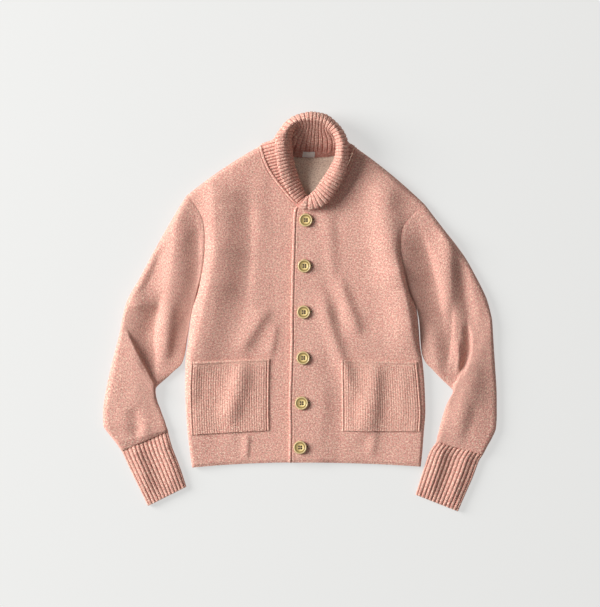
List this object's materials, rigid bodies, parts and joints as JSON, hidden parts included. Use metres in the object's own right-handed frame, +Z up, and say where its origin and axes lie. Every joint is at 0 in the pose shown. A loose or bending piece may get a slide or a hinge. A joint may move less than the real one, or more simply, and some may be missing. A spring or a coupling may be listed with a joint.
{
  "type": "knit jacket",
  "caption": "Button-front knit jacket with a ribbed shawl collar, ribbed cuffs and ribbed patch pockets, laid flat, face up.",
  "frame": {"origin": "centre of the laid-out jacket in plan, on the surface that it rests on", "axes": "+Z up from the surface, +Y from hem to collar, +X toward the wearer's left side"},
  "size_m": [0.7884, 0.7987, 0.0597],
  "materials": {
    "felted_knit": "matte",
    "rib_knit": "matte",
    "horn_button": "satin",
    "label_cloth": "matte"
  },
  "bodies": {
    "root": {"back": "felted_knit", "front_right": "felted_knit", "front_left": "felted_knit", "sleeve_right": "felted_knit", "sleeve_left": "felted_knit", "cuff_right": "rib_knit", "cuff_left": "rib_knit", "collar": "rib_knit", "pocket_right": "rib_knit", "pocket_left": "rib_knit", "label": "label_cloth", "button_1": "horn_button", "button_2": "horn_button", "button_3": "horn_button", "button_4": "horn_button", "button_5": "horn_button", "button_6": "horn_button"}
  },
  "joints": []
}
